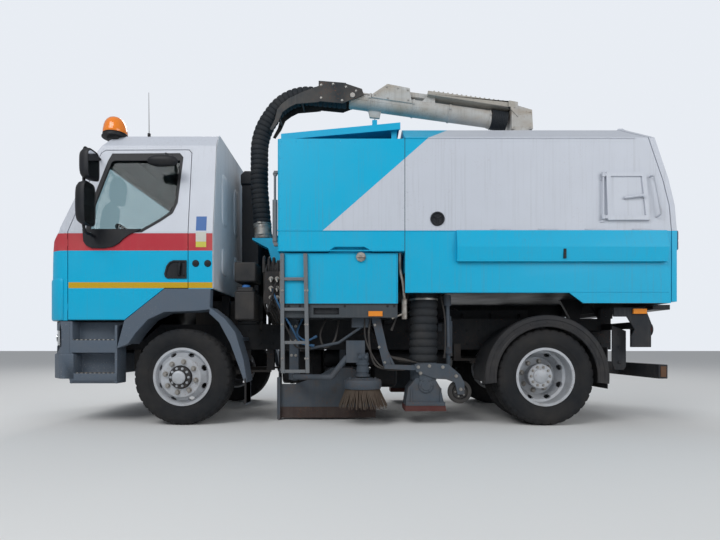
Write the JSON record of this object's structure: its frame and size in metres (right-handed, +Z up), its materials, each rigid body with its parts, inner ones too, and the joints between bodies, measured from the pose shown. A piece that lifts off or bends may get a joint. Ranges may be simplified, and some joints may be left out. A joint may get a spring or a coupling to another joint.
{
  "type": "street sweeper truck",
  "caption": "Cab-over street sweeper truck with a tipping hopper, an overhead suction hose on a slewing boom, side brushes, a wide broom and suction nozzles.",
  "frame": {"origin": "middle of the overall box, on the ground under the truck", "axes": "+X forward, +Y to the driver's left, +Z up"},
  "size_m": [5.747, 2.66, 3.3739],
  "materials": {
    "cab_paint": "gloss",
    "body_paint": "gloss",
    "boom_paint": "satin",
    "wheel_steel": "satin",
    "tyre_rubber": "matt",
    "axle_steel": "matt",
    "frame_paint": "matt",
    "ladder_paint": "satin",
    "engine_iron": "matt",
    "window_glass": "clear",
    "cab_trim": "matt",
    "bumper_plastic": "grained",
    "black_plastic": "grained",
    "lamp_lens": "clear",
    "valve_metal": "scuffed",
    "tank_paint": "satin",
    "hose_rubber": "matt",
    "ram_paint": "satin",
    "rod_chrome": "polished",
    "gear_paint": "satin",
    "castor_rubber": "matt",
    "brush_bristle": "bristled",
    "beacon_amber": "clear"
  },
  "bodies": {
    "chassis": {"front_axle": "axle_steel", "rear_axle": "axle_steel", "chassis_frame": "frame_paint", "drive_engine": "engine_iron", "cab_shell": "cab_paint", "windscreen": "window_glass", "cab_interior": "cab_trim", "front_bumper": "bumper_plastic", "front_mudguards": "bumper_plastic", "lamps": "lamp_lens", "intake_stack": "black_plastic", "reservoir": "black_plastic", "valve_block": "valve_metal", "side_tanks": "tank_paint", "sweep_engine": "engine_iron", "ladder": "ladder_paint", "rear_mudguards": "black_plastic", "rear_underrun": "frame_paint", "tool_frame": "gear_paint", "suction_trunks": "hose_rubber", "suction_nozzles": "gear_paint", "broom_housing": "gear_paint", "roof_beacon": "beacon_amber"},
    "hopper": {"hopper_shell": "body_paint", "front_section": "body_paint"},
    "rear_door": {"rear_door": "body_paint"},
    "access_hatch": {"access_hatch": "body_paint"},
    "side_lid_left": {"side_lid_left": "body_paint"},
    "side_lid_right": {"side_lid_right": "body_paint"},
    "boom_turret": {"boom_turret": "boom_paint"},
    "boom_arm": {"boom_arm": "boom_paint"},
    "hose": {"suction_hose": "hose_rubber", "hose_fittings": "valve_metal"},
    "tip_barrel": {"tip_barrel": "ram_paint"},
    "tip_rod": {"tip_rod": "rod_chrome"},
    "door_left": {"door_left": "cab_paint", "door_glass_left": "window_glass", "mirror_left": "black_plastic"},
    "door_right": {"door_right": "cab_paint", "door_glass_right": "window_glass", "mirror_right": "black_plastic"},
    "steer_left": {"knuckle_left": "axle_steel"},
    "steer_right": {"knuckle_right": "axle_steel"},
    "wheel_front_left": {"rim_front_left": "wheel_steel", "tyre_front_left": "tyre_rubber"},
    "wheel_front_right": {"rim_front_right": "wheel_steel", "tyre_front_right": "tyre_rubber"},
    "wheel_rear_left": {"rims_rear_left": "wheel_steel", "tyres_rear_left": "tyre_rubber"},
    "wheel_rear_right": {"rims_rear_right": "wheel_steel", "tyres_rear_right": "tyre_rubber"},
    "brush_arm_left": {"brush_arm_left": "gear_paint"},
    "brush_arm_right": {"brush_arm_right": "gear_paint"},
    "gutter_brush_left": {"gutter_brush_left": "brush_bristle"},
    "gutter_brush_right": {"gutter_brush_right": "brush_bristle"},
    "wide_broom": {"wide_broom": "brush_bristle"},
    "nozzle_wheel_left": {"nozzle_wheel_left": "castor_rubber"},
    "nozzle_wheel_right": {"nozzle_wheel_right": "castor_rubber"}
  },
  "joints": [
    {"name": "hopper_tip", "type": "hinge", "parent": "chassis", "child": "hopper", "pos_m": [-2.5245, 0, 1.04], "axis": [0, -1, 0], "range_deg": [0, 50]},
    {"name": "rear_door_lift", "type": "hinge", "parent": "hopper", "child": "rear_door", "pos_m": [-2.4005, 0, 2.766], "axis": [0, 1, 0], "range_deg": [0, 85]},
    {"name": "hatch_swing", "type": "hinge", "parent": "hopper", "child": "access_hatch", "pos_m": [-2.1145, 1.174, 2.03], "axis": [0, 0, -1], "range_deg": [0, 110]},
    {"name": "lid_left_lift", "type": "hinge", "parent": "hopper", "child": "side_lid_left", "pos_m": [-1.7545, 1.16, 1.738], "axis": [1, 0, 0], "range_deg": [0, 100]},
    {"name": "lid_right_lift", "type": "hinge", "parent": "hopper", "child": "side_lid_right", "pos_m": [-1.7545, -1.16, 1.738], "axis": [-1, 0, 0], "range_deg": [0, 100]},
    {"name": "boom_slew", "type": "hinge", "parent": "hopper", "child": "boom_turret", "pos_m": [-1.6045, 0.45, 2.9], "axis": [0, 0, 1], "range_deg": [0, 95]},
    {"name": "boom_lift", "type": "hinge", "parent": "boom_turret", "child": "boom_arm", "pos_m": [-1.5095, 0.45, 3.135], "axis": [0, -1, 0], "range_deg": [0, 30]},
    {"name": "hose_swing", "type": "hinge", "parent": "boom_arm", "child": "hose", "pos_m": [0.0905, 0.45, 3.226], "axis": [0, -1, 0], "range_deg": [-15, 0]},
    {"name": "tip_barrel_pivot", "type": "hinge", "parent": "chassis", "child": "tip_barrel", "pos_m": [-1.8645, 0, 0.76], "axis": [0, -1, 0], "range_deg": [0, 58]},
    {"name": "tip_rod_slide", "type": "slide", "parent": "tip_barrel", "child": "tip_rod", "axis": [0.9409, 0, 0.3387], "range_m": [0, 0.578]},
    {"name": "door_left_swing", "type": "hinge", "parent": "chassis", "child": "door_left", "pos_m": [2.6495, 1.066, 1.7], "axis": [0, 0, -1], "range_deg": [0, 70]},
    {"name": "door_right_swing", "type": "hinge", "parent": "chassis", "child": "door_right", "pos_m": [2.6495, -1.066, 1.7], "axis": [0, 0, 1], "range_deg": [0, 70]},
    {"name": "steer_left", "type": "hinge", "parent": "chassis", "child": "steer_left", "pos_m": [1.6155, 0.82, 0.4335], "axis": [0, 0, 1], "range_deg": [-40, 40]},
    {"name": "steer_right", "type": "hinge", "parent": "chassis", "child": "steer_right", "pos_m": [1.6155, -0.82, 0.4335], "axis": [0, 0, 1], "range_deg": [-40, 40]},
    {"name": "wheel_front_left", "type": "hinge", "parent": "steer_left", "child": "wheel_front_left", "pos_m": [1.6155, 0.969, 0.4335], "axis": [0, 1, 0], "continuous": true},
    {"name": "wheel_front_right", "type": "hinge", "parent": "steer_right", "child": "wheel_front_right", "pos_m": [1.6155, -0.969, 0.4335], "axis": [0, 1, 0], "continuous": true},
    {"name": "wheel_rear_left", "type": "hinge", "parent": "chassis", "child": "wheel_rear_left", "pos_m": [-1.6345, 0.854, 0.4335], "axis": [0, 1, 0], "continuous": true},
    {"name": "wheel_rear_right", "type": "hinge", "parent": "chassis", "child": "wheel_rear_right", "pos_m": [-1.6345, -0.854, 0.4335], "axis": [0, 1, 0], "continuous": true},
    {"name": "brush_arm_left", "type": "hinge", "parent": "chassis", "child": "brush_arm_left", "pos_m": [0.6555, 0.7, 0.43], "axis": [0, 0, -1], "range_deg": [0, 25]},
    {"name": "brush_arm_right", "type": "hinge", "parent": "chassis", "child": "brush_arm_right", "pos_m": [0.6555, -0.7, 0.43], "axis": [0, 0, 1], "range_deg": [0, 25]},
    {"name": "brush_spin_left", "type": "hinge", "parent": "brush_arm_left", "child": "gutter_brush_left", "pos_m": [-0.0045, 1.01, 0.4], "axis": [0, 0, 1], "continuous": true},
    {"name": "brush_spin_right", "type": "hinge", "parent": "brush_arm_right", "child": "gutter_brush_right", "pos_m": [-0.0045, -1.01, 0.4], "axis": [0, 0, 1], "continuous": true},
    {"name": "wide_broom_spin", "type": "hinge", "parent": "chassis", "child": "wide_broom", "pos_m": [0.1855, 0, 0.27], "axis": [0, 1, 0], "continuous": true},
    {"name": "nozzle_wheel_left", "type": "hinge", "parent": "chassis", "child": "nozzle_wheel_left", "pos_m": [-0.8865, 1.008, 0.295], "axis": [0, 1, 0], "continuous": true},
    {"name": "nozzle_wheel_right", "type": "hinge", "parent": "chassis", "child": "nozzle_wheel_right", "pos_m": [-0.8865, -1.008, 0.295], "axis": [0, 1, 0], "continuous": true}
  ],
  "couplings": [
    {"joint": "steer_right", "follows": "steer_left", "ratio": 1},
    {"joint": "hose_swing", "follows": "boom_lift", "ratio": -0.5},
    {"joint": "tip_barrel_pivot", "follows": "hopper_tip", "ratio": 1.16},
    {"joint": "tip_rod_slide", "follows": "hopper_tip", "m_per_rad": 0.6612}
  ]
}
